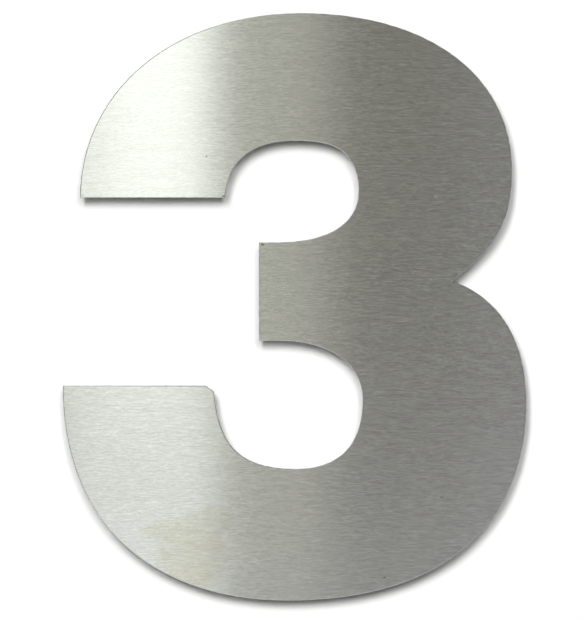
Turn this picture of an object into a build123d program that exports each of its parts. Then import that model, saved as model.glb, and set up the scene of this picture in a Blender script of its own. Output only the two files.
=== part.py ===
from build123d import *
from math import radians, tan
import os

# A house number, a wide figure three cut from flat brushed sheet. It stands off its wall on four
# studs welded to its back, and a tube sleeve round each stud keeps the distance to the wall.
# +Z is up, the face looks along -Y and the wall is the plane Y = 0. The origin lies on the wall,
# midway between the four studs and at half the figure's height. Sizes are in millimetres.

# Sheet
sheet_thickness = 3.0

# Overall size of the figure, and how far each bowl's middle lies to the right of the origin
figure_height = 200.0
upper_width = 147.0
upper_shift = 0.4
lower_width = 157.8
lower_shift = -0.1

# Widths of the stroke
top_stroke = 43.4
bottom_stroke = 44.8
upper_side_stroke = 52.2
lower_side_stroke = 55.7
upper_arm_width = 49.3
lower_arm_width = 51.4

# Middle bar: its height, its middle's height, its end and the straight stretches of its edges
bar_height = 33.5
bar_rise = 5.2
bar_reach = 12.2
bar_top_straight = 5.7
bar_bottom_straight = 7.6

# Gaps between the bar's edges and the cut ends of the two arms
upper_gap = 15.2
lower_gap = 15.3

# Heights above the origin at which the outer and inner sides stand upright
upper_bowl_level = 46.4
lower_bowl_level = -33.4
upper_counter_level = 39.2
lower_counter_level = -31.7

# Places right of the origin at which the top and bottom edges lie level
crown_shift = 2.2
foot_shift = -2.8
upper_counter_shift = 0.3
lower_counter_shift = 0.4

# Waist between the two bowls, and the slopes at which the bowls leave it
waist_reach = 53.8
waist_rise = 8.8
waist_upper_slope = 39.6
waist_lower_slope = 20.4

# Slope from upright at which each counter leaves its arm
upper_arm_lean = 5.5
lower_arm_lean = 5.4

# How far each quarter bow reaches towards its corner, at its start and at its end
crown_left_fullness = (0.57, 0.59)
crown_right_fullness = (0.60, 0.61)
upper_waist_fullness = (0.82, 0.75)
lower_waist_fullness = (0.66, 0.66)
foot_right_fullness = (0.44, 0.80)
foot_left_fullness = (0.53, 0.71)
lower_counter_left_fullness = (0.60, 0.85)
lower_counter_floor_fullness = (0.49, 0.79)
lower_counter_roof_fullness = (0.74, 0.43)
upper_counter_floor_fullness = (0.69, 0.57)
upper_counter_roof_fullness = (0.85, 0.56)
upper_counter_left_fullness = (0.68, 0.66)

# Cut-off corner at the inner end of the lower arm
corner_cut_width = 2.7
corner_cut_height = 2.0

# Studs and sleeves
stud_spacing_wide = 96.0
stud_spacing_high = 106.0
stud_diameter = 4.0
stud_in_wall = 30.0
stud_tip = 0.6
flange_diameter = 5.5
flange_thickness = 0.8
sleeve_clearance = 0.5
sleeve_wall = 1.75
sleeve_length = 6.0
sleeve_edge = 0.3

# Plane of the sheet's back, in front of the wall
back_face = -sleeve_length

# Outer limits of the figure
top = figure_height / 2
bottom = -figure_height / 2
upper_left = upper_shift - upper_width / 2
upper_right = upper_shift + upper_width / 2
lower_left = lower_shift - lower_width / 2
lower_right = lower_shift + lower_width / 2

# Edges of the bar and ends of the arms
bar_top = bar_rise + bar_height / 2
bar_bottom = bar_rise - bar_height / 2
upper_cut = bar_top + upper_gap
lower_cut = bar_bottom - lower_gap

# Limits of the two counters
upper_counter_top = top - top_stroke
upper_counter_right = upper_right - upper_side_stroke
lower_counter_bottom = bottom + bottom_stroke
lower_counter_right = lower_right - lower_side_stroke


def quarter(start, corner, end, fullness):
    """Bow that leaves start and reaches end along the lines to corner, fuller towards it."""
    first, last = fullness
    leave = Vector(start) + (Vector(corner) - Vector(start)) * first
    arrive = Vector(end) + (Vector(corner) - Vector(end)) * last
    Bezier(start, leave, arrive, end)


# Points where the outline turns, as (right, up)
upper_arm_outer = (upper_left, upper_cut)
crown = (crown_shift, top)
upper_side = (upper_right, upper_bowl_level)
waist = (waist_reach, waist_rise)
lower_side = (lower_right, lower_bowl_level)
foot = (foot_shift, bottom)
lower_arm_outer = (lower_left, lower_cut)
lower_arm_corner = (lower_left + lower_arm_width - corner_cut_width, lower_cut)
lower_arm_inner = (lower_left + lower_arm_width, lower_cut - corner_cut_height)
lower_counter_floor = (lower_counter_shift, lower_counter_bottom)
lower_counter_side = (lower_counter_right, lower_counter_level)
bar_lower_bend = (bar_bottom_straight - bar_reach, bar_bottom)
bar_upper_bend = (bar_top_straight - bar_reach, bar_top)
upper_counter_side = (upper_counter_right, upper_counter_level)
upper_counter_crown = (upper_counter_shift, upper_counter_top)
upper_arm_inner = (upper_left + upper_arm_width, upper_cut)

# Corners that the sloping bows aim at
upper_waist_corner = (
    upper_right,
    waist_rise + (upper_right - waist_reach) * tan(radians(waist_upper_slope)),
)
lower_waist_corner = (
    lower_right,
    waist_rise - (lower_right - waist_reach) * tan(radians(waist_lower_slope)),
)
upper_lean_corner = (
    upper_arm_inner[0] + (upper_counter_top - upper_cut) * tan(radians(upper_arm_lean)),
    upper_counter_top,
)
lower_lean_corner = (
    lower_arm_inner[0] + (lower_arm_inner[1] - lower_counter_bottom) * tan(radians(lower_arm_lean)),
    lower_counter_bottom,
)

# Where the studs and their sleeves stand, as (right, up)
fixing_places = {
    "upper_left": (-stud_spacing_wide / 2, stud_spacing_high / 2),
    "upper_right": (stud_spacing_wide / 2, stud_spacing_high / 2),
    "lower_left": (-stud_spacing_wide / 2, -stud_spacing_high / 2),
    "lower_right": (stud_spacing_wide / 2, -stud_spacing_high / 2),
}
sleeve_bore = flange_diameter + 2 * sleeve_clearance

os.makedirs("parts", exist_ok=True)

# Plate: the figure's outline in the order of the pen, from the end of the upper arm
with BuildPart() as number_plate:
    with BuildSketch(Plane.XZ.offset(-back_face)):
        with BuildLine():
            quarter(upper_arm_outer, (upper_left, top), crown, crown_left_fullness)
            quarter(crown, (upper_right, top), upper_side, crown_right_fullness)
            quarter(upper_side, upper_waist_corner, waist, upper_waist_fullness)
            quarter(waist, lower_waist_corner, lower_side, lower_waist_fullness)
            quarter(lower_side, (lower_right, bottom), foot, foot_right_fullness)
            quarter(foot, (lower_left, bottom), lower_arm_outer, foot_left_fullness)
            Polyline(lower_arm_outer, lower_arm_corner, lower_arm_inner)
            quarter(lower_arm_inner, lower_lean_corner, lower_counter_floor, lower_counter_left_fullness)
            quarter(lower_counter_floor, (lower_counter_right, lower_counter_bottom),
                    lower_counter_side, lower_counter_floor_fullness)
            quarter(lower_counter_side, (lower_counter_right, bar_bottom),
                    bar_lower_bend, lower_counter_roof_fullness)
            Polyline(bar_lower_bend, (-bar_reach, bar_bottom), (-bar_reach, bar_top), bar_upper_bend)
            quarter(bar_upper_bend, (upper_counter_right, bar_top),
                    upper_counter_side, upper_counter_floor_fullness)
            quarter(upper_counter_side, (upper_counter_right, upper_counter_top),
                    upper_counter_crown, upper_counter_roof_fullness)
            quarter(upper_counter_crown, upper_lean_corner, upper_arm_inner, upper_counter_left_fullness)
            Line(upper_arm_inner, upper_arm_outer)
        make_face()
    extrude(amount=sheet_thickness)
number_plate.part.label = "number_plate"
export_step(number_plate.part, "parts/number_plate.step")

for place, spot in fixing_places.items():
    # Stud: weld flange against the plate's back, then the rod through the sleeve into the wall
    with BuildPart() as stud:
        with BuildSketch(Plane.XZ.offset(-back_face)):
            with Locations(spot):
                Circle(flange_diameter / 2)
        extrude(amount=-flange_thickness)
        with BuildSketch(Plane.XZ.offset(-back_face)):
            with Locations(spot):
                Circle(stud_diameter / 2)
        extrude(amount=-(sleeve_length + stud_in_wall))
        chamfer(stud.edges().sort_by(Axis.Y)[-1], stud_tip)
    stud.part.label = f"stud_{place}"
    export_step(stud.part, f"parts/stud_{place}.step")

    # Sleeve: tube from the wall to the plate's back, clear of the stud's flange
    with BuildPart() as sleeve:
        with BuildSketch(Plane.XZ):
            with Locations(spot):
                Circle(sleeve_bore / 2 + sleeve_wall)
                Circle(sleeve_bore / 2, mode=Mode.SUBTRACT)
        extrude(amount=sleeve_length)
        chamfer(sleeve.edges().filter_by(GeomType.CIRCLE).sort_by(SortBy.RADIUS)[-2:], sleeve_edge)
    sleeve.part.label = f"sleeve_{place}"
    export_step(sleeve.part, f"parts/sleeve_{place}.step")
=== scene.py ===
import bpy, bmesh, math
from mathutils import Matrix, Vector


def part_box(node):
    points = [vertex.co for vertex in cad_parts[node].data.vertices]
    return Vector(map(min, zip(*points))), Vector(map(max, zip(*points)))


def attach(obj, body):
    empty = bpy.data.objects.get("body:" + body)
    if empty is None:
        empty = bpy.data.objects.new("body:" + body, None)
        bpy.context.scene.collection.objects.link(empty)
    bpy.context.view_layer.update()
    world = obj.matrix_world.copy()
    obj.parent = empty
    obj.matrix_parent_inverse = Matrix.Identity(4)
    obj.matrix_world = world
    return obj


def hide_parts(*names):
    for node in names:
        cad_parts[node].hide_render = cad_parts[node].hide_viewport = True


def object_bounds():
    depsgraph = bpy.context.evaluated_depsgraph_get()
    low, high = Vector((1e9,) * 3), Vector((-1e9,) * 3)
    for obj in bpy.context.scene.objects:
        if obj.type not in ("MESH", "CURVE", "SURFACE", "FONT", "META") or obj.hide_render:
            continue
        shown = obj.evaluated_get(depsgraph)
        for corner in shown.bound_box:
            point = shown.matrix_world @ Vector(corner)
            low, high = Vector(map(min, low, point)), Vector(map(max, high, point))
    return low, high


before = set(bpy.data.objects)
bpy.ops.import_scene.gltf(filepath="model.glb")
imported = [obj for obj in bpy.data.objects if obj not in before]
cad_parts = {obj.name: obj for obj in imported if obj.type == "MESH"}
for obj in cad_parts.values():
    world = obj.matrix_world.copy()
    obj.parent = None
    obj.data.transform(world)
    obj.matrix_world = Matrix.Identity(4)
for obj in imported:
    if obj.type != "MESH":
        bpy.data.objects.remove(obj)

cadLow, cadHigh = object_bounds()
mm = 0.001
weldDistance = 0.002 * mm   # points nearer than this become one


# Small helpers for node trees

def addNode(tree, kind, settings=None, inputs=None):
    node = tree.nodes.new(kind)
    for key, value in (settings or {}).items():
        setattr(node, key, value)
    for key, value in (inputs or {}).items():
        if isinstance(value, bpy.types.NodeSocket):
            tree.links.new(value, node.inputs[key])
        else:
            node.inputs[key].default_value = value
    return node


def calc(tree, operation, first, second):
    return addNode(tree, "ShaderNodeMath", {"operation": operation}, {0: first, 1: second}).outputs[0]


def calcAll(tree, operation, values):
    # one operation along a whole list, such as the product of several tones
    result = values[0]
    for value in values[1:]:
        result = calc(tree, operation, result, value)
    return result


def vectorCalc(tree, operation, inputs):
    node = addNode(tree, "ShaderNodeVectorMath", {"operation": operation}, inputs)
    return node.outputs["Value" if operation in ("LENGTH", "DISTANCE") else "Vector"]


def remap(tree, value, fromLow, fromHigh, toLow, toHigh, smooth=False):
    node = addNode(tree, "ShaderNodeMapRange", {"interpolation_type": "SMOOTHSTEP" if smooth else "LINEAR"},
                   {"Value": value, "From Min": fromLow, "From Max": fromHigh,
                    "To Min": toLow, "To Max": toHigh})
    return node.outputs[0]


def blendColours(tree, factor, first, second):
    node = addNode(tree, "ShaderNodeMix", {"data_type": "RGBA"}, {0: factor, 6: first, 7: second})
    return node.outputs[2]


def mixShaders(tree, factor, first, second):
    return addNode(tree, "ShaderNodeMixShader", {}, {0: factor, 1: first, 2: second}).outputs[0]


def noiseAlong(tree, coords, perMetre, detail=2.0, roughness=0.55):
    stretched = addNode(tree, "ShaderNodeMapping", {}, {"Vector": coords, "Scale": perMetre})
    node = addNode(tree, "ShaderNodeTexNoise", {}, {"Vector": stretched.outputs[0], "Scale": 1.0,
                                                   "Detail": detail, "Roughness": roughness})
    return node.outputs["Fac"]


def spread(tree, noise, low, high, swing=0.2):
    # low to high, for noise that lies within swing of its middle value
    return remap(tree, noise, 0.5 - swing, 0.5 + swing, low, high)


def addPattern(tree, coords, perMetre, tones, detail=2.0, roughness=0.55, swing=0.2):
    # a noise, and the tone from dark to light that it gives
    noise = noiseAlong(tree, coords, perMetre, detail, roughness)
    return noise, spread(tree, noise, *tones, swing)


def spotMask(tree, coords, centre, radii, soft, turn=0.0, strength=1.0):
    # a flat oval round centre, in millimetres as seen from the front, that fades to 0 at its rim
    placed = addNode(tree, "ShaderNodeMapping", {"vector_type": "TEXTURE"},
                     {"Vector": coords, "Location": (centre[0] * mm, 0, centre[1] * mm),
                      "Rotation": (0, turn, 0), "Scale": (radii[0] * mm, 1000, radii[1] * mm)})
    reach = vectorCalc(tree, "LENGTH", {0: placed.outputs[0]})
    return remap(tree, reach, 1 - soft, 1, strength, 0, True)


def startMetal(name, finish, anisotropic=0.0):
    material = bpy.data.materials.new(name)
    material.use_nodes = True
    tree = material.node_tree
    shader = tree.nodes["Principled BSDF"]
    shader.inputs["Metallic"].default_value = 1.0
    shader.inputs["Roughness"].default_value = sum(finish["roughness"]) / 2
    shader.inputs["Anisotropic"].default_value = anisotropic
    coords = addNode(tree, "ShaderNodeTexCoord").outputs["Object"]
    return material, tree, shader, coords


def tint(tree, colour, tone):
    return vectorCalc(tree, "SCALE", {0: colour, "Scale": tone})


def finishMetal(tree, shader, colour, roughness):
    tree.links.new(colour, shader.inputs["Base Color"])
    tree.links.new(roughness, shader.inputs["Roughness"])


def addBump(tree, shader, height, strength, distance):
    bump = addNode(tree, "ShaderNodeBump", {}, {"Strength": strength, "Distance": distance, "Height": height})
    tree.links.new(bump.outputs[0], shader.inputs["Normal"])


# Finishes

brushedFront = {
    "colour": (0.62, 0.62, 0.575),
    "roughness": (0.203, 0.267),
    "fine": {"perMetre": (260, 300, 2700), "tones": (0.91, 1.09), "roughness": 0.6, "swing": 0.25},
    "short": {"perMetre": (700, 300, 3600), "tones": (0.89, 1.11), "roughness": 0.6, "swing": 0.25},
    "broad": {"perMetre": (60, 60, 800), "tones": (0.97, 1.03), "roughness": 0.6, "swing": 0.25},
    "clouds": {"perMetre": (22, 20, 38), "tones": (0.985, 1.015)},
    "bump": {"strength": 0.25, "distance": 0.01 * mm},
    # Dried smear: three ovals, broken up along the grain
    "smearOvals": [
        {"centre": (-35.0, -83.5), "radii": (13.5, 15.0), "soft": 0.3},
        {"centre": (-42.5, -75.0), "radii": (12.5, 3.4), "soft": 0.4, "turn": math.radians(-14)},
        {"centre": (-28.5, -72.5), "radii": (9.0, 5.6), "soft": 0.45, "strength": 0.8},
    ],
    "smearPatches": {"perMetre": (90, 50, 330), "detail": 3.0, "roughness": 0.65},
    "smearBreaks": (0.30, 0.62, 0.5, 1.0),   # from this noise to this strength
    "smearTint": (0.905, 0.89, 0.815),
    "smearRoughness": 0.02,
    # Spots: how far right, how far up and how high, in millimetres
    "spots": [
        {"paint": (0.10, 0.10, 0.085, 1),
         "places": [(-24.3, 37.6, 0.55), (-11.0, 21.2, 0.5), (-30.1, 51.2, 0.35), (49.9, -64.9, 0.35),
                    (30.5, -92.1, 0.4)]},
        {"paint": (0.95, 0.95, 0.92, 1), "places": [(47.9, 37.6, 0.4), (46.2, 9.3, 0.45)]},
        {"paint": (0.52, 0.44, 0.32, 1), "places": [(-72.3, 37.9, 0.6)]},
    ],
    "spotShape": {"soft": 0.6, "strength": 0.75},
    "spotWidth": 1.3,   # times its height
}


def makeBrushedFront():
    finish = brushedFront
    material, tree, shader, coords = startMetal("BrushedFront", finish, 1.0)

    # Light and dark strands of the grain
    fine, fineTone = addPattern(tree, coords, **finish["fine"])
    short, shortTone = addPattern(tree, coords, **finish["short"])
    broadTone = addPattern(tree, coords, **finish["broad"])[1]
    cloudTone = addPattern(tree, coords, **finish["clouds"])[1]
    tone = calcAll(tree, "MULTIPLY", [fineTone, shortTone, broadTone, cloudTone])
    colour = tint(tree, finish["colour"], tone)

    # Dried smear on the lower arm
    smear = calcAll(tree, "MAXIMUM", [spotMask(tree, coords, **oval) for oval in finish["smearOvals"]])
    patches = noiseAlong(tree, coords, **finish["smearPatches"])
    smear = calc(tree, "MULTIPLY", smear, remap(tree, patches, *finish["smearBreaks"], True))
    dulled = vectorCalc(tree, "MULTIPLY", {0: colour, 1: finish["smearTint"]})
    colour = blendColours(tree, smear, colour, dulled)

    # Dark specks, bright nicks and a speck of rust
    for spots in finish["spots"]:
        masks = [spotMask(tree, coords, (x, z), (size * finish["spotWidth"], size), **finish["spotShape"])
                 for x, z, size in spots["places"]]
        colour = blendColours(tree, calcAll(tree, "MAXIMUM", masks), colour, spots["paint"])

    # Single strands are rougher than others, and the smear is a little duller
    strands = calc(tree, "MULTIPLY", calc(tree, "ADD", fine, short), 0.5)
    rough = spread(tree, strands, *finish["roughness"])
    rough = calc(tree, "ADD", rough, calc(tree, "MULTIPLY", smear, finish["smearRoughness"]))
    finishMetal(tree, shader, colour, rough)
    addBump(tree, shader, fine, **finish["bump"])
    along = addNode(tree, "ShaderNodeTangent", {"direction_type": "UV_MAP", "uv_map": "grain"})
    tree.links.new(along.outputs[0], shader.inputs["Tangent"])
    return material


cutEdge = {
    "colour": (0.36, 0.355, 0.335),
    "roughness": (0.28, 0.42),
    "ridges": {"perMetre": (2600, 90, 2600), "tones": (0.82, 1.12)},
    "drift": {"perMetre": (160, 500, 160), "tones": (0.92, 1.06)},
    "bump": {"strength": 0.5, "distance": 0.03 * mm},
}


def makeCutEdge():
    # Cut face of the sheet: fine striations across its thickness
    finish = cutEdge
    material, tree, shader, coords = startMetal("CutEdge", finish)
    ridges, ridgeTone = addPattern(tree, coords, **finish["ridges"])
    driftTone = addPattern(tree, coords, **finish["drift"])[1]
    colour = tint(tree, finish["colour"], calc(tree, "MULTIPLY", ridgeTone, driftTone))
    finishMetal(tree, shader, colour, spread(tree, ridges, *finish["roughness"]))
    addBump(tree, shader, ridges, **finish["bump"])
    return material


brokenEdge = {
    # painted shade: the rim's colour is darker than the face's
    "colour": (0.42, 0.42, 0.40),
    "roughness": (0.22, 0.32),
    "rubbed": {"perMetre": (420, 420, 420), "tones": (0.86, 1.08), "detail": 3.0},
}


def makeBrokenEdge():
    # Narrow rim where the cut's burr was rubbed off. Its colour is kept darker than the face's, as painted
    # shade for the thin dark line along the rim.
    finish = brokenEdge
    material, tree, shader, coords = startMetal("BrokenEdge", finish)
    rubbed, rubbedTone = addPattern(tree, coords, **finish["rubbed"])
    finishMetal(tree, shader, tint(tree, finish["colour"], rubbedTone),
                spread(tree, rubbed, *finish["roughness"]))
    return material


millBack = {
    "colour": (0.56, 0.56, 0.545),
    "roughness": (0.38, 0.48),
    "rolled": {"perMetre": (60, 60, 900), "tones": (0.95, 1.05), "detail": 3.0},
    "blotches": {"perMetre": (45, 45, 45), "tones": (0.9, 1.06), "detail": 3.0},
    "bump": {"strength": 0.3, "distance": 0.03 * mm},
    "weldReach": (2.5 * mm, 9.5 * mm),   # where the tints of a weld start and end
    "weldDepth": 6 * mm,
    "blueTint": (0.62, 0.66, 0.80, 1),
    "strawTint": (1.0, 0.89, 0.70, 1),
    "strawPlace": 0.42,
}


def makeMillBack(studX, studZ):
    # Rolled back of the sheet, dull and blotchy, with straw and blue tints where the studs were welded
    finish = millBack
    material, tree, shader, coords = startMetal("MillBack", finish)
    rolled, rolledTone = addPattern(tree, coords, **finish["rolled"])
    blotches, blotchTone = addPattern(tree, coords, **finish["blotches"])
    colour = tint(tree, finish["colour"], calc(tree, "MULTIPLY", rolledTone, blotchTone))

    # One ring of tints serves all four welds, because they lie alike about the middle
    folded = vectorCalc(tree, "ABSOLUTE", {0: coords})
    reach = vectorCalc(tree, "DISTANCE", {0: folded, 1: (studX, finish["weldDepth"], studZ)})
    ring = addNode(tree, "ShaderNodeValToRGB", {}, {0: remap(tree, reach, *finish["weldReach"], 0, 1)})
    stops = ring.color_ramp.elements
    stops[0].color = finish["blueTint"]
    stops[1].position, stops[1].color = 1.0, (1, 1, 1, 1)
    stops.new(finish["strawPlace"]).color = finish["strawTint"]
    colour = vectorCalc(tree, "MULTIPLY", {0: colour, 1: ring.outputs[0]})
    finishMetal(tree, shader, colour, spread(tree, blotches, *finish["roughness"]))
    addBump(tree, shader, rolled, **finish["bump"])
    return material


studFinish = {
    "colour": (0.63, 0.62, 0.59),
    "roughness": (0.26, 0.34),
    "worn": {"perMetre": (300, 700, 300), "tones": (0.92, 1.05)},
    "rootShadeRange": (1.62 * mm, 1.92 * mm),   # radii over which the painted shade in the thread's roots fades out
    "coreRange": (1.2 * mm, 1.6 * mm),   # inside these the flange and the flat tip get no painted shade
    "rootShadeTone": 0.30,
}


def makeStudMetal(studX, studZ):
    # Bright on the thread's crests, with painted shade darkening its roots
    finish = studFinish
    material, tree, shader, coords = startMetal("StudMetal", finish)
    worn, wornTone = addPattern(tree, coords, **finish["worn"])
    folded = vectorCalc(tree, "ABSOLUTE", {0: coords})
    across = vectorCalc(tree, "MULTIPLY_ADD", {0: folded, 1: (1, 0, 1), 2: (-studX, 0, -studZ)})
    radius = vectorCalc(tree, "LENGTH", {0: across})
    # painted shade: the colour darkens towards the thread's root radius
    paintedRootShade = remap(tree, radius, *finish["rootShadeRange"], finish["rootShadeTone"], 1.0, True)
    bright = calc(tree, "MAXIMUM", paintedRootShade, remap(tree, radius, *finish["coreRange"], 1.0, 0.0))
    colour = tint(tree, finish["colour"], calc(tree, "MULTIPLY", bright, wornTone))
    finishMetal(tree, shader, colour, spread(tree, worn, *finish["roughness"]))
    return material


sleeveFinish = {
    "colour": (0.60, 0.60, 0.57),
    "roughness": (0.25, 0.36),
    "rings": {"perMetre": (60, 4200, 60), "tones": (0.88, 1.08)},
    "cloud": {"perMetre": (260, 260, 260), "tones": (0.94, 1.05)},
    "bump": {"strength": 0.4, "distance": 0.02 * mm},
}


def makeSleeveMetal():
    # Turned tube: fine rings round it
    finish = sleeveFinish
    material, tree, shader, coords = startMetal("SleeveMetal", finish)
    rings, ringTone = addPattern(tree, coords, **finish["rings"])
    cloudTone = addPattern(tree, coords, **finish["cloud"])[1]
    colour = tint(tree, finish["colour"], calc(tree, "MULTIPLY", ringTone, cloudTone))
    finishMetal(tree, shader, colour, spread(tree, rings, *finish["roughness"]))
    addBump(tree, shader, rings, **finish["bump"])
    return material


# Small helpers for meshes

def addPiece(name, bm, materials):
    mesh = bpy.data.meshes.new(name)
    bm.to_mesh(mesh)
    bm.free()
    for material in materials:
        mesh.materials.append(material)
    piece = bpy.data.objects.new(name, mesh)
    bpy.context.scene.collection.objects.link(piece)
    return piece


def liesAt(parts, level, within):
    # edges or faces whose points all lie at one distance from the wall
    return [part for part in parts if all(abs(v.co.y - level) < within for v in part.verts)]


def markSharp(bm, sharpAngle):
    for edge in bm.edges:
        edge.smooth = edge.calc_face_angle(0) < sharpAngle


def finishRound(bm, sharpAngle=math.radians(30)):
    bmesh.ops.recalc_face_normals(bm, faces=bm.faces)
    bm.normal_update()
    markSharp(bm, sharpAngle)
    for face in bm.faces:
        face.smooth = True


# The figure, cut from sheet

plateSizes = {
    "edgeBreak": 0.25 * mm,
    "edgeSegments": 2,
    "sharpAngle": math.radians(25),
    "levelAngle": 1e-4,   # faces that meet at less than this are one
    "flatWithin": 0.01 * mm,
    "grainMap": 250 * mm,   # side of the square that the grain's map covers
}


def finishFacing(facing):
    # place in the plate's materials: 0 front, 1 cut edge, 2 back, 3 rubbed rim
    if facing < -0.99:
        return 0
    if facing > 0.99:
        return 2
    return 1 if abs(facing) < 0.05 else 3


def makePlate(materials):
    sizes = plateSizes
    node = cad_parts["number_plate"]
    low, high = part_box("number_plate")
    bm = bmesh.new()
    bm.from_mesh(node.data)
    bmesh.ops.remove_doubles(bm, verts=bm.verts, dist=weldDistance)

    # Front and back become one face each, and so does each flat step of the edge between them
    for level in (low.y, high.y):
        flat = liesAt(bm.faces, level, sizes["flatWithin"])
        bmesh.ops.dissolve_faces(bm, faces=flat, use_verts=False)
    bm.normal_update()
    across = [e for e in bm.edges if len(e.link_faces) == 2 and e.calc_face_angle(0) < sizes["levelAngle"]
              and abs(e.link_faces[0].normal.y) < 0.5]
    bmesh.ops.dissolve_edges(bm, edges=across, use_verts=False)
    bm.normal_update()

    rim = liesAt(bm.edges, low.y, sizes["flatWithin"])
    bmesh.ops.bevel(bm, geom=rim, offset=sizes["edgeBreak"], offset_type="OFFSET", affect="EDGES",
                    segments=sizes["edgeSegments"], profile=0.5, material=-1)
    bm.normal_update()

    grain = bm.loops.layers.uv.new("grain")
    for face in bm.faces:
        face.material_index = finishFacing(face.normal.y)
        face.smooth = face.material_index in (1, 3)
        for loop in face.loops:
            spot = loop.vert.co
            loop[grain].uv = (spot.z / sizes["grainMap"] + 0.5, spot.x / sizes["grainMap"] + 0.5)
    markSharp(bm, sizes["sharpAngle"])
    plate = addPiece("numberPlate", bm, materials)
    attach(plate, "root")
    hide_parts("number_plate")
    return plate


# Threaded studs, welded to the back by a small flange

studSizes = {
    "pitch": 0.7 * mm,
    "rootRadius": 1.6 * mm,
    "crestRadius": 2.0 * mm,
    "rootFlat": 0.15 * mm,
    "flank": 0.23 * mm,
    "stepsPerTurn": 24,
    "threadSink": 0.2 * mm,   # how deep the thread starts in the flange
    "flangeHeight": 0.8 * mm,
    "flangeSides": 40,
    "flangeBevel": 0.12 * mm,
    "bevelSegments": 2,
    "tipLength": 0.6 * mm,
    "cutWithin": 0.0001 * mm,
    "rimWithin": 0.001 * mm,
}


def makeStud(place, material):
    sizes = studSizes
    low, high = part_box("stud_" + place)
    middle = (low + high) / 2
    flangeRadius = (high.x - low.x) / 2
    bm = bmesh.new()

    # Thread: one pitch of its profile, screwed along the rod and cut off square at both ends
    pitch, rootR, crestR = sizes["pitch"], sizes["rootRadius"], sizes["crestRadius"]
    start = low.y + sizes["flangeHeight"] - sizes["threadSink"]
    profile = [(rootR, 0), (rootR, sizes["rootFlat"]), (crestR, sizes["rootFlat"] + sizes["flank"]),
               (crestR, pitch - sizes["flank"]), (rootR, pitch)]
    turns = math.ceil((high.y - start) / pitch) + 2
    points = [bm.verts.new((middle.x + r, start - pitch + along, middle.z)) for r, along in profile]
    lines = [bm.edges.new(pair) for pair in zip(points, points[1:])]
    steps = sizes["stepsPerTurn"] * turns
    bmesh.ops.spin(bm, geom=points + lines, cent=(middle.x, 0, middle.z), axis=(0, 1, 0),
                   dvec=(0, pitch * turns / steps, 0), angle=2 * math.pi * turns, steps=steps,
                   use_merge=False, use_duplicate=False)
    bmesh.ops.remove_doubles(bm, verts=bm.verts, dist=weldDistance)
    for level, side in ((start, -1), (high.y, 1)):
        bmesh.ops.bisect_plane(bm, geom=bm.verts[:] + bm.edges[:] + bm.faces[:], dist=sizes["cutWithin"],
                               plane_co=(0, level, 0), plane_no=(0, side, 0), clear_outer=True)
        rim = [e for e in liesAt(bm.edges, level, sizes["rimWithin"]) if e.is_boundary]
        bmesh.ops.holes_fill(bm, edges=rim, sides=0)

    # Lead-in cone at the tip
    for vert in bm.verts:
        away = Vector((vert.co.x - middle.x, vert.co.z - middle.z))
        allowed = crestR - max(0, vert.co.y - (high.y - sizes["tipLength"]))
        if away.length > allowed:
            away *= allowed / away.length
            vert.co.x, vert.co.z = middle.x + away.x, middle.z + away.y

    # Weld flange, with a bevel on its side away from the plate
    centre = (middle.x, low.y + sizes["flangeHeight"] / 2, middle.z)
    disc = bmesh.ops.create_cone(bm, cap_ends=True, segments=sizes["flangeSides"], radius1=flangeRadius,
                                 radius2=flangeRadius, depth=sizes["flangeHeight"],
                                 matrix=Matrix.Translation(centre) @ Matrix.Rotation(math.pi / 2, 4, "X"))
    outer = {e for v in disc["verts"] for e in v.link_edges if all(v.co.y > centre[1] for v in e.verts)}
    bmesh.ops.bevel(bm, geom=list(outer), offset=sizes["flangeBevel"], offset_type="OFFSET", affect="EDGES",
                    segments=sizes["bevelSegments"], profile=0.5, material=-1)
    finishRound(bm)
    stud = addPiece("stud" + place.title().replace("_", ""), bm, [material])
    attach(stud, "root")
    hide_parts("stud_" + place)
    return stud


# Tube sleeves between the wall and the plate

sleeveSizes = {
    "boreRadius": 3.25 * mm,
    "edge": 0.3 * mm,
    "steps": 64,
}


def makeSleeve(place, material):
    sizes = sleeveSizes
    low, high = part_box("sleeve_" + place)
    middle = (low + high) / 2
    outside, bore, edge = (high.x - low.x) / 2, sizes["boreRadius"], sizes["edge"]
    bm = bmesh.new()
    corners = [(bore, low.y), (outside - edge, low.y), (outside, low.y + edge),
               (outside, high.y - edge), (outside - edge, high.y), (bore, high.y)]
    points = [bm.verts.new((middle.x + r, y, middle.z)) for r, y in corners]
    lines = [bm.edges.new(pair) for pair in zip(points, points[1:] + points[:1])]
    bmesh.ops.spin(bm, geom=points + lines, cent=(middle.x, 0, middle.z), axis=(0, 1, 0),
                   angle=2 * math.pi, steps=sizes["steps"], use_merge=True)
    finishRound(bm)
    sleeve = addPiece("sleeve" + place.title().replace("_", ""), bm, [material])
    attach(sleeve, "root")
    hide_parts("sleeve_" + place)
    return sleeve


studLow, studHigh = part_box("stud_upper_right")
studSpot = ((studLow.x + studHigh.x) / 2, (studLow.z + studHigh.z) / 2)
plate = makePlate([makeBrushedFront(), makeCutEdge(), makeMillBack(*studSpot), makeBrokenEdge()])
print("plate made:", len(plate.data.polygons), "faces")
studMetal, sleeveMetal = makeStudMetal(*studSpot), makeSleeveMetal()
for place in ("upper_left", "upper_right", "lower_left", "lower_right"):
    stud = makeStud(place, studMetal)
    sleeve = makeSleeve(place, sleeveMetal)
print("studs and sleeves made:", len(stud.data.polygons), "and", len(sleeve.data.polygons), "faces each")


# Wall behind, pale floor far below, and a dim room behind the camera

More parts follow.
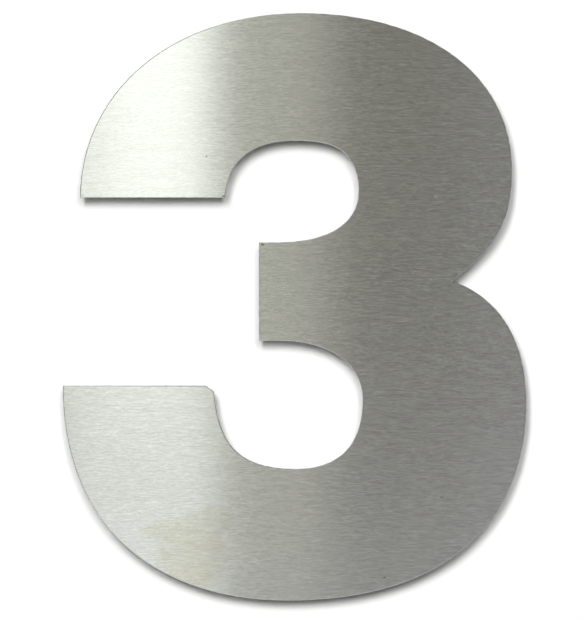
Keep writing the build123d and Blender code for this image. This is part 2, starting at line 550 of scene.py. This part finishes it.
stageSizes = {
    "halfWidth": 0.9,
    "wallTop": 0.9,
    "wallColour": (0.945, 0.945, 0.945, 1),
    "wallGlow": 0.85,
    "floorLevel": -0.8,
    "floorDepth": 1.2,
    "floorColours": ((0.80, 0.80, 0.79, 1), (0.86, 0.86, 0.85, 1)),
    "floorSpeckle": (40, 40, 40),
    "floorRoughness": 0.8,
    "floorGlow": 0.6,
    "roomPlace": (0, -1.8, 0),
    "roomSize": (7, 5),
    "roomColour": (1.02, 1.0, 0.94, 1),
    "roomLevel": 0.230,
    "fillColour": (0.98, 1.0, 0.93, 1),
    "fillLevel": 0.14,
}


def mirroredRay(tree, path):
    # 1 for what gloss and glass show, 0 for light that has already met a dull surface
    shown = calc(tree, "MAXIMUM", path["Is Glossy Ray"], path["Is Transmission Ray"])
    return calc(tree, "MULTIPLY", shown, calc(tree, "LESS_THAN", path["Diffuse Depth"], 0.5))


def startEmpty(name):
    material = bpy.data.materials.new(name)
    material.use_nodes = True
    material.node_tree.nodes.clear()
    return material, material.node_tree


def makeWallPaint():
    # White towards the room; from behind it isn't there, so the studs can be seen
    material, tree = startEmpty("WallPaint")
    paint = addNode(tree, "ShaderNodeBsdfDiffuse", {}, {"Color": stageSizes["wallColour"]}).outputs[0]
    glow = addNode(tree, "ShaderNodeEmission", {},
                   {"Color": (1, 1, 1, 1), "Strength": stageSizes["wallGlow"]}).outputs[0]
    clear = addNode(tree, "ShaderNodeBsdfTransparent").outputs[0]
    path = addNode(tree, "ShaderNodeLightPath").outputs
    behind = addNode(tree, "ShaderNodeNewGeometry").outputs["Backfacing"]
    room = mixShaders(tree, mirroredRay(tree, path), paint, glow)
    passes = calc(tree, "MAXIMUM", behind, path["Is Shadow Ray"])
    addNode(tree, "ShaderNodeOutputMaterial", {}, {"Surface": mixShaders(tree, passes, room, clear)})
    return material


def makeFloorPaint():
    # Pale to the eye and in the steel, with its shadows kept
    material = bpy.data.materials.new("FloorPaint")
    material.use_nodes = True
    tree = material.node_tree
    shader = tree.nodes["Principled BSDF"]
    coords = addNode(tree, "ShaderNodeTexCoord").outputs["Object"]
    speckle = noiseAlong(tree, coords, stageSizes["floorSpeckle"])
    colour = blendColours(tree, speckle, *stageSizes["floorColours"])
    shader.inputs["Roughness"].default_value = stageSizes["floorRoughness"]
    path = addNode(tree, "ShaderNodeLightPath").outputs
    seen = calcAll(tree, "MAXIMUM",
                   [path[kind] for kind in ("Is Camera Ray", "Is Glossy Ray", "Is Transmission Ray")])
    tree.links.new(colour, shader.inputs["Base Color"])
    tree.links.new(colour, shader.inputs["Emission Color"])
    tree.links.new(calc(tree, "MULTIPLY", seen, stageSizes["floorGlow"]), shader.inputs["Emission Strength"])
    return material


def makeDimPaint():
    material, tree = startEmpty("DimRoom")
    glow = addNode(tree, "ShaderNodeEmission", {},
                   {"Color": stageSizes["roomColour"], "Strength": stageSizes["roomLevel"]})
    addNode(tree, "ShaderNodeOutputMaterial", {}, {"Surface": glow.outputs[0]})
    return material


def makeSlab(name, centre, turn, size, material):
    bm = bmesh.new()
    place = Matrix.Translation(centre) @ Matrix.Rotation(turn, 4, "X") @ Matrix.Diagonal((*size, 1, 1))
    bmesh.ops.create_grid(bm, x_segments=1, y_segments=1, size=0.5, matrix=place)
    slab = addPiece(name, bm, [material])
    return slab


width, top = 2 * stageSizes["halfWidth"], stageSizes["wallTop"]
bottom, depth = stageSizes["floorLevel"], stageSizes["floorDepth"]
makeSlab("wall", (0, 0, (top + bottom) / 2), math.pi / 2, (width, top - bottom), makeWallPaint())
floor = makeSlab("floor", (0, -depth / 2, bottom), 0, (width, depth), makeFloorPaint())
floor.visible_diffuse = False   # it lies too far down to light the wall


# Light: two columns of soft lamps a little above the front, and pale boards that only the steel mirrors

lampSizes = {
    "keyColumns": {
        "keyLeft": {"side": 10.5, "strength": 0.70},
        "keyRight": {"side": -7.5, "strength": 0.38},
    },
    "keyRises": (8.8, 15.0, 21.2),
    "keySpread": 14,
    "boardDistance": 0.25,
    "boardStagger": 0.003,   # one behind the other, so all are mirrored
    "boards": {
        "brightOuter": {"x": (-0.090, -0.0325), "z": (0, 0.45), "level": 0.48, "colour": (0.955, 1, 1.04)},
        "brightInner": {"x": (-0.098, -0.0253), "z": (0, 0.45), "level": 0.48, "colour": (0.955, 1, 1.04)},
        "brightCore": {"x": (-0.0667, -0.0342), "z": (0, 0.45), "level": 0.34, "colour": (0.955, 1, 1.04)},
        "brightLow": {"x": (-0.085, -0.0272), "z": (-0.45, 0), "level": 0.47, "colour": (0.94, 1, 1.06)},
        "middleInner": {"x": (-0.62, 0.0065), "z": (-0.109, 0.45), "level": 0.157, "colour": (1, 1.03, 0.92)},
        "middleOuter": {"x": (-0.62, 0.0175), "z": (-0.109, 0.45), "level": 0.157, "colour": (1, 1.03, 0.92)},
        "topBoard": {"x": (-0.62, 0.62), "z": (0.10, 0.45), "level": 0.035, "colour": (1, 1.02, 0.86)},
        "lowBoard": {"x": (-0.62, 0.62), "z": (-0.45, -0.091), "level": 0.25, "colour": (0.95, 0.985, 1.15)},
        "rightBoard": {"x": (0.062, 0.62), "z": (-0.45, 0.45), "level": 0.04, "colour": (0.92, 0.95, 1.3)},
    },
    # Low on the left, for the thin bright line on rims that face it
    "sideBoard": {"place": (-0.40, -0.46, -0.36), "size": (0.06, 0.09), "level": 5.0},
}


def addSun(name, rise, side, strength, spreadAngle):
    # side is measured from the front towards the left, seen from the front
    light = bpy.data.lights.new(name, "SUN")
    light.energy, light.angle = strength, math.radians(spreadAngle)
    lamp = bpy.data.objects.new(name, light)
    up, left = math.radians(rise), math.radians(side)
    towards = Vector((-math.sin(left) * math.cos(up), -math.cos(left) * math.cos(up), math.sin(up)))
    lamp.rotation_euler = towards.to_track_quat("Z", "Y").to_euler()
    lamp.visible_glossy = False
    bpy.context.scene.collection.objects.link(lamp)


def addBoard(name, place, turn, size, level, colour=(1, 1, 1)):
    light = bpy.data.lights.new(name, "AREA")
    light.shape, light.size, light.size_y = "RECTANGLE", *size
    light.energy = level * math.pi * light.size * light.size_y
    light.color = colour
    board = bpy.data.objects.new(name, light)
    board.location, board.rotation_euler = place, turn
    board.visible_camera = board.visible_diffuse = False
    bpy.context.scene.collection.objects.link(board)


for name, column in lampSizes["keyColumns"].items():
    for rise in lampSizes["keyRises"]:
        addSun(name, rise, **column, spreadAngle=lampSizes["keySpread"])
for count, (name, board) in enumerate(lampSizes["boards"].items()):
    (left, right), (low, high) = board["x"], board["z"]
    distance = lampSizes["boardDistance"] + lampSizes["boardStagger"] * count
    addBoard(name, ((left + right) / 2, cadLow.y - distance, (low + high) / 2), (math.pi / 2, 0, 0),
             (right - left, high - low), board["level"], board["colour"])
sidePlace = lampSizes["sideBoard"]["place"]
addBoard("sideBoard", turn=Vector(sidePlace).to_track_quat("Z", "Y").to_euler(), **lampSizes["sideBoard"])

# Only the steel's reflection sees the dim room
dimRoom = makeSlab("dimRoom", stageSizes["roomPlace"], -math.pi / 2, stageSizes["roomSize"], makeDimPaint())
dimRoom.visible_camera = dimRoom.visible_diffuse = False
dimRoom.visible_shadow = dimRoom.visible_transmission = False

# World: white to the eye and in the steel, and a dim fill for everything else
world = bpy.data.worlds.new("Studio")
bpy.context.scene.world = world
world.use_nodes = True
sky = world.node_tree
sky.nodes.clear()
path = addNode(sky, "ShaderNodeLightPath").outputs
seen = calc(sky, "MAXIMUM", path["Is Camera Ray"], mirroredRay(sky, path))
fill = addNode(sky, "ShaderNodeBackground", {},
               {"Color": stageSizes["fillColour"], "Strength": stageSizes["fillLevel"]}).outputs[0]
pale = addNode(sky, "ShaderNodeBackground", {}, {"Color": (1, 1, 1, 1), "Strength": 1.0}).outputs[0]
addNode(sky, "ShaderNodeOutputWorld", {}, {"Surface": mixShaders(sky, seen, fill, pale)})
bpy.context.scene.view_settings.view_transform = "Standard"
print("stage and lamps set")


# Camera: straight on, filling the frame as the photograph does

cameraSizes = {"distance": 4.0, "x": -0.00099, "z": -0.00107, "frameHeight": 0.21107, "sensor": 24}
lens = bpy.data.cameras.new("camera")
lens.sensor_fit, lens.sensor_height = "VERTICAL", cameraSizes["sensor"]
lens.lens = cameraSizes["sensor"] * cameraSizes["distance"] / cameraSizes["frameHeight"]
camera = bpy.data.objects.new("camera", lens)
camera.location = (cameraSizes["x"], cadLow.y - cameraSizes["distance"], cameraSizes["z"])
camera.rotation_euler = (math.pi / 2, 0, 0)
bpy.context.scene.collection.objects.link(camera)
bpy.context.scene.camera = camera
